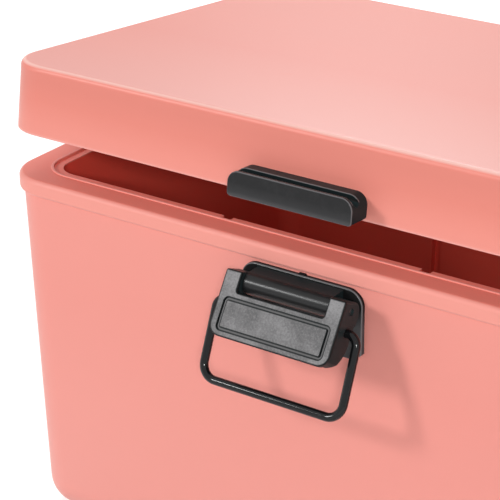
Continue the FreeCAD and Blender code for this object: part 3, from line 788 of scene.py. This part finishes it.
def corners(points):
    """Lowest and highest corner of some points."""
    low = Vector([min(point[axis] for point in points) for axis in range(3)])
    high = Vector([max(point[axis] for point in points) for axis in range(3)])
    return low, high


# Bail

def bail_path(sizes):
    """Points and bend radii of the wire's middle line, from one end to the other."""
    low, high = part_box("bail")
    radius = sizes.wire / 2
    pivot = Vector(joints["bail_swing"]["pos_m"])
    left = low.x + radius
    right = high.x - radius
    foot = Vector((0.0, low.y + radius, low.z + radius))
    stops = [
        (left + sizes.tail, pivot, 0.0), (left, pivot, sizes.hook), (left, foot, sizes.corner),
        (right, foot, sizes.corner), (right, pivot, sizes.hook), (right - sizes.tail, pivot, 0.0),
    ]
    points = [(x, place.y, place.z) for x, place, _ in stops]
    return points, [bend for _, _, bend in stops]


def wire_recipe():
    """Round wire bent along a line of points, each with its own bend radius."""
    recipe = Recipe("bent_wire", {"Wire": LENGTH, "Facets": COUNT, "Coating": MATERIAL})
    start = recipe.start
    line = recipe.node("GeometryNodeMeshToCurve", None, {"Mesh": start.out("Geometry")})
    bend = recipe.number("bend")
    inputs = {"Curve": line, "Count": start.out("Facets"), "Radius": bend, "Limit Radius": True}
    bent = recipe.node("GeometryNodeFilletCurve", {"mode": "POLY"}, inputs)
    inputs = {"Resolution": start.out("Facets"), "Radius": start.out("Wire") * 0.5}
    section = recipe.node("GeometryNodeCurvePrimitiveCircle", {"mode": "RADIUS"}, inputs)
    inputs = {"Curve": bent, "Profile Curve": section, "Fill Caps": True}
    recipe.end(recipe.node("GeometryNodeCurveToMesh", None, inputs), start.out("Coating"))
    return recipe


# Seal

def seal_box():
    """The seal's box in the lid's own frame, shut."""
    shut = lid_shut()
    return corners([shut @ vertex.co for vertex in frame["nodes"]["lid_seal"].data.vertices])


def seal_section(sizes, height):
    """Half-round bulb under a flat foot, as points across and down."""
    half = sizes.width / 2
    bulb = [math.pi * step / sizes.bulb for step in range(sizes.bulb + 1)]
    shoulder = height * sizes.shoulder
    round_part = [(half * math.cos(a), -shoulder - (height - shoulder) * math.sin(a)) for a in bulb]
    return [(-half * sizes.foot, 0.0), (half * sizes.foot, 0.0)] + round_part


def seal_recipe():
    """Ring of one section round a rectangle with round corners."""
    sizes = {"Length": LENGTH, "Depth": LENGTH, "Corner": LENGTH, "Facets": COUNT, "Rubber": MATERIAL}
    recipe = Recipe("seal_ring", sizes)
    start = recipe.start
    inputs = {0: start.out("Length"), 1: start.out("Depth")}
    path = recipe.node("GeometryNodeCurvePrimitiveQuadrilateral", {"mode": "RECTANGLE"}, inputs)
    corner = start.out("Corner")
    inputs = {"Curve": path, "Count": start.out("Facets"), "Radius": corner, "Limit Radius": True}
    ring = recipe.node("GeometryNodeFilletCurve", {"mode": "POLY"}, inputs)
    section = recipe.node("GeometryNodeMeshToCurve", None, {"Mesh": start.out("Geometry")})
    inputs = {"Curve": ring, "Profile Curve": section, "Fill Caps": False}
    recipe.end(recipe.node("GeometryNodeCurveToMesh", None, inputs), start.out("Rubber"))
    return recipe


# Screws

def screw_mesh(sizes, grip):
    """Countersunk screw along -Z, with its face at the origin and a cross recess."""
    mesh = bmesh.new()
    arm, half = sizes.arm, sizes.slot / 2
    middle = (arm + half) / 2
    quarter = [(arm, -half), (arm, 0.0), (arm, half), (middle, half), (half, half), (half, middle)]
    turns = [Matrix.Rotation(math.pi / 2 * turn, 2) for turn in range(4)]
    cross = [turn @ Vector(point) for turn in turns for point in quarter]
    head, shank = sizes.head / 2, sizes.shank / 2
    edge = head * sizes.edge

    def ring(radius, z):
        return [mesh.verts.new((*(point.normalized() * radius), z)) for point in cross]

    floor = [mesh.verts.new((*(point * sizes.recess_floor), -sizes.depth)) for point in cross]
    mouth = [mesh.verts.new((*point, 0.0)) for point in cross]
    rings = [floor, mouth, ring(head - edge, 0.0), ring(head, -edge), ring(shank, -edge - head + shank)]
    rings += [ring(shank, -grip * sizes.straight), ring(shank * sizes.tip, -grip)]
    for inner, outer in zip(rings, rings[1:]):
        for i in range(len(cross)):
            after = (i + 1) % len(cross)
            mesh.faces.new((inner[i], outer[i], outer[after], inner[after]))
    mesh.faces.new(floor)
    mesh.faces.new(rings[-1][::-1])
    bmesh.ops.recalc_face_normals(mesh, faces=mesh.faces)
    data = bpy.data.meshes.new("screw")
    mesh.to_mesh(data)
    mesh.free()
    return data


def screw_boxes(node, upright, apart):
    """Boxes of the single screws of a group, in the frame that a matrix turns them to."""
    vertices = frame["nodes"][node].data.vertices
    points = sorted((upright @ vertex.co for vertex in vertices), key=lambda point: point.x)
    groups = [[points[0]]]
    for before, point in zip(points, points[1:]):
        if point.x - before.x > apart:
            groups.append([])
        groups[-1].append(point)
    return [corners(group) for group in groups]


def screw_recipe():
    """One screw on every point, each turned by its own amount about its axis."""
    recipe = Recipe("hinge_screws", {"Screw": PIECE, "Facing": TURN, "Plating": MATERIAL})
    start = recipe.start
    inputs = {"Object": start.out("Screw")}
    info = recipe.node("GeometryNodeObjectInfo", {"transform_space": "ORIGINAL"}, inputs)
    about = recipe.node("ShaderNodeCombineXYZ", None, {"Z": recipe.number("spin")})
    own = recipe.node("FunctionNodeEulerToRotation", None, {0: about})
    inputs = {"Rotation": start.out("Facing"), "Rotate By": own}
    turn = recipe.node("FunctionNodeRotateRotation", {"rotation_space": "LOCAL"}, inputs)
    points = recipe.node("GeometryNodeMeshToPoints", None, {"Mesh": start.out("Geometry")})
    inputs = {"Points": points, "Instance": info.out("Geometry"), "Rotation": turn}
    recipe.end(recipe.node("GeometryNodeInstanceOnPoints", None, inputs), start.out("Plating"))
    return recipe


def drive_screws(recipe, sizes, zinc, node, body, upright):
    """Screws in place of one group of the frame, which a matrix turns upright."""
    boxes = screw_boxes(node, upright, sizes.apart)
    grip = boxes[0][1].y - boxes[0][0].y
    pattern = bpy.data.objects.new("screw", screw_mesh(sizes, grip))
    bpy.context.scene.collection.objects.link(pattern)
    faces = [((low.x + high.x) / 2, high.y, (low.z + high.z) / 2) for low, high in boxes]
    spins = [sizes.turn + sizes.turn_step * number for number in range(len(faces))]
    facing = (math.radians(-90.0), 0.0, 0.0)
    mesh = line_mesh(node, faces, [], spin=spins)
    values = {"Screw": pattern, "Facing": facing, "Plating": zinc}
    screws = recipe.run(f"{node}_cross", mesh, values)
    bpy.data.objects.remove(pattern)
    screws.data.transform(upright.inverted())
    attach(screws, body)
    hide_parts(node)


# Stage

# Where each light stands: round from the front and up in degrees, then its distance and width in metres
KEY_PLACE = (-38.0, 27.0, 3.6, 0.675)
FRONT_PLACE = (33.0, 24.0, 2.2, 0.3)
REAR_PLACE = (200.0, 40.0, 2.0, 1.0)
SHEEN_PLACE = (209.0, 32.0, 2.0, 0.4)

FLOOR_GREYS = ((0.78, 0.78, 0.78), (0.80, 0.80, 0.80))
FLOOR_GLOWS = ((0.46, 0.46, 0.46), (0.76, 0.76, 0.76))
FLOOR_GLOW_REACH = (0.5, 2.5)


def studio_floor(name):
    """Pale floor that shows as white where nothing shades it, also far from the lights."""
    finish = Finish(name)
    grey = finish.mix(finish.noise(0.6, detail=2.0), *FLOOR_GREYS)
    paper = finish.node("ShaderNodeBsdfDiffuse", None, {"Color": grey})
    away = finish.node("ShaderNodeVectorMath", {"operation": "LENGTH"}, {0: finish.place}, "Value")
    light = finish.mix(finish.above(away, *FLOOR_GLOW_REACH), *FLOOR_GLOWS)
    glow = finish.node("ShaderNodeEmission", None, {"Color": light, "Strength": 1.0})
    bright = finish.node("ShaderNodeAddShader", None, {0: paper, 1: glow})
    mixed = finish.node("ShaderNodeMixShader", None, {0: finish.seen(), 1: paper, 2: bright})
    finish.node("ShaderNodeOutputMaterial", None, {"Surface": mixed})
    return finish.material


def studio_world(strength):
    """Even light from all round, seen as white."""
    world = bpy.data.worlds.new("studio")
    world.use_nodes = True
    graph = Graph(world.node_tree)
    graph.tree.nodes.clear()
    white = (1.0, 1.0, 1.0, 1.0)
    light = graph.node("ShaderNodeBackground", None, {"Color": white, "Strength": strength})
    paper = graph.node("ShaderNodeBackground", None, {"Color": white, "Strength": 1.0})
    mixed = graph.node("ShaderNodeMixShader", None, {0: graph.seen(), 1: light, 2: paper})
    graph.node("ShaderNodeOutputWorld", None, {"Surface": mixed})
    return world


def soft_light(name, azimuth, elevation, distance, width, power):
    """Square area light that looks at the box from a direction in degrees, seen from the front."""
    lamp = bpy.data.lights.new(name, "AREA")
    lamp.shape = "SQUARE"
    lamp.size = width
    lamp.energy = power
    lit = bpy.data.objects.new(name, lamp)
    turn, rise = math.radians(azimuth), math.radians(elevation)
    away = Vector((math.sin(turn) * math.cos(rise), -math.cos(turn) * math.cos(rise), math.sin(rise)))
    low, high = cad_bounds
    lit.location = (Vector(low) + Vector(high)) / 2 + away * distance
    lit.rotation_euler = (-away).to_track_quat("-Z", "Y").to_euler()
    bpy.context.scene.collection.objects.link(lit)
    return lit


# Operators

class MouldWalls(bpy.types.Operator):
    """Give the shell, the liner and both halves of the lid their coral plastic."""

    bl_idname = "storage_box.mould_walls"
    bl_label = "Mould walls"

    def execute(self, context):
        plastics = context.scene.storage_box.plastics
        shades = {
            "outer_shell": shell_shade(plastics.coral_painted_light),
            "inner_liner": liner_shade(plastics.coral_painted_shade, plastics.coral_painted_light),
            "lid_cover": lid_shade(plastics.coral, plastics.coral_painted_light),
            "lid_liner": None,
        }
        for node, shade in shades.items():
            base = plastics.coral_shell_painted_sheen if node == "outer_shell" else plastics.coral
            gloss = plastics.liner_gloss if node == "inner_liner" else plastics.coral_gloss
            coral = coral_plastic(f"{node}_coral", base, plastics.coral_roughness, gloss, shade)
            paint(coral, node, node)
        return {"FINISHED"}


class FillWalls(bpy.types.Operator):
    """Give the filling of the double walls its foam."""

    bl_idname = "storage_box.fill_walls"
    bl_label = "Fill walls"

    def execute(self, context):
        foam = rigid_foam("filling_foam", context.scene.storage_box.plastics.foam)
        paint(foam, "insulation", "body_insulation", "lid_insulation")
        return {"FINISHED"}


class FitSeal(bpy.types.Operator):
    """Run the soft seal round the underside of the lid."""

    bl_idname = "storage_box.fit_seal"
    bl_label = "Fit seal"

    def execute(self, context):
        box = context.scene.storage_box
        low, high = seal_box()
        width = box.seal.width
        section = seal_section(box.seal, high.z - low.z)
        count = len(section)
        mesh = line_mesh("seal", [(x, y, 0.0) for x, y in section], chain(count) + [(count - 1, 0)])
        values = {
            "Length": high.x - low.x - width,
            "Depth": high.y - low.y - width,
            "Corner": box.seal.corner - width / 2,
            "Facets": box.seal.facets,
            "Rubber": soft_rubber("seal_rubber", box.plastics.seal_grey),
        }
        seal = seal_recipe().run("soft_seal", mesh, values)
        middle = (low + high) / 2
        seal.data.transform(lid_shut().inverted() @ Matrix.Translation((middle.x, middle.y, high.z)))
        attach(seal, "lid")
        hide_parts("lid_seal")
        return {"FINISHED"}


class DressLatch(bpy.types.Operator):
    """Finish the latch base, the lever and its pin, the sleeves and the keeper."""

    bl_idname = "storage_box.dress_latch"
    bl_label = "Dress latch"

    def execute(self, context):
        box = context.scene.storage_box
        plastics = box.plastics
        grey = sparked_grey("lever_grey", plastics.lever_grey, plastics.lever_black, box.lever)
        paint(grey, "lever", "latch_lever")
        base, shade = plastics.latch_black, base_shade(plastics.latch_black)
        black = black_nylon("base_black", base, plastics.latch_roughness, FINE_GRAIN, shade)
        paint(black, "latch_plate", "latch_base")
        base, shade = plastics.keeper_black, keeper_shade(plastics.keeper_black)
        black = black_nylon("keeper_black", base, plastics.keeper_roughness, MOULD_GRAIN, shade)
        paint(black, "keeper", "keeper")
        black = black_nylon("sleeve_black", plastics.latch_black, plastics.sleeve_roughness, SLEEVE_GRAIN)
        paint(black, "bush", "bail_bushes")
        paint(plated_steel("pin_zinc", box.metals.zinc), "steel", "lever_pin")
        return {"FINISHED"}


class BendBail(bpy.types.Operator):
    """Bend the wire loop that hangs from the lever."""

    bl_idname = "storage_box.bend_bail"
    bl_label = "Bend bail"

    def execute(self, context):
        box = context.scene.storage_box
        points, bends = bail_path(box.bail)
        mesh = line_mesh("bail_line", points, chain(len(points)), bend=bends)
        values = {
            "Wire": box.bail.wire,
            "Facets": box.bail.facets,
            "Coating": coated_wire("wire_black", box.metals.wire_coating),
        }
        bail = wire_recipe().run("wire_bail", mesh, values)
        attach(bail, "bail")
        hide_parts("bail")
        return {"FINISHED"}


class HangLid(bpy.types.Operator):
    """Finish the hinge leaves and pins, and drive the hinge screws."""

    bl_idname = "storage_box.hang_lid"
    bl_label = "Hang lid"

    def execute(self, context):
        box = context.scene.storage_box
        leaves = [f"hinge_{part}_leaf_{side}" for part in ("body", "lid") for side in ("left", "right")]
        base, roughness = box.plastics.latch_black, box.plastics.latch_roughness
        paint(black_nylon("leaf_black", base, roughness, MOULD_GRAIN), "hinge_leaf", *leaves)
        zinc = plated_steel("hinge_zinc", box.metals.zinc)
        paint(zinc, "steel", "hinge_pin_left", "hinge_pin_right", "latch_screws", "keeper_screws")
        recipe = screw_recipe()
        drive_screws(recipe, box.screws, zinc, "hinge_body_screws", "box", Matrix.Identity(4))
        drive_screws(recipe, box.screws, zinc, "hinge_lid_screws", "lid", lid_shut())
        return {"FINISHED"}


class SetStage(bpy.types.Operator):
    """Lay the floor and set the lights and the camera."""

    bl_idname = "storage_box.set_stage"
    bl_label = "Set stage"

    def execute(self, context):
        stage = context.scene.storage_box.stage
        scene = context.scene
        scene.view_settings.view_transform = "Standard"
        scene.world = studio_world(stage.sky)
        half = stage.floor / 2
        drop = -stage.floor_drop
        sheet = bpy.data.meshes.new("floor")
        ends = [(-half, -half, drop), (half, -half, drop), (half, half, drop), (-half, half, drop)]
        sheet.from_pydata(ends, [], [(0, 1, 2, 3)])
        sheet.materials.append(studio_floor("floor_paper"))
        floor = bpy.data.objects.new("floor", sheet)
        scene.collection.objects.link(floor)
        soft_light("key_light", *KEY_PLACE, stage.key)
        soft_light("front_light", *FRONT_PLACE, stage.front)
        soft_light("rear_light", *REAR_PLACE, stage.rear)
        soft_light("sheen_light", *SHEEN_PLACE, stage.sheen)
        lens = bpy.data.cameras.new("camera")
        lens.lens = stage.lens
        lens.sensor_width = stage.sensor
        eye = bpy.data.objects.new("camera", lens)
        eye.location = stage.eye
        turn, dip = stage.azimuth, stage.elevation
        ahead = Vector((-math.sin(turn) * math.cos(dip), math.cos(turn) * math.cos(dip), -math.sin(dip)))
        eye.rotation_euler = ahead.to_track_quat("-Z", "Y").to_euler()
        scene.collection.objects.link(eye)
        scene.camera = eye
        return {"FINISHED"}


class StorageBoxPanel(bpy.types.Panel):
    """Lists the steps that finish the box."""

    bl_idname = "VIEW3D_PT_storage_box"
    bl_label = "Storage Box"
    bl_space_type = "VIEW_3D"
    bl_region_type = "UI"
    bl_category = "Storage Box"

    def draw(self, context):
        for step in STEPS:
            self.layout.operator(step.bl_idname)


GROUPS = (
    PlasticColours, MetalColours, LeverSizes, BailSizes, SealSizes, ScrewSizes, StageSizes, StorageBox,
)
STEPS = (MouldWalls, FillWalls, FitSeal, DressLatch, BendBail, HangLid, SetStage)
CLASSES = GROUPS + STEPS + (StorageBoxPanel,)


def register():
    for kind in CLASSES:
        bpy.utils.register_class(kind)
    bpy.types.Scene.storage_box = PointerProperty(type=StorageBox)


def unregister():
    del bpy.types.Scene.storage_box
    for kind in reversed(CLASSES):
        bpy.utils.unregister_class(kind)


def main():
    register()
    for step in STEPS:
        group, name = step.bl_idname.split(".")
        getattr(getattr(bpy.ops, group), name)()


if __name__ == "__main__":
    main()
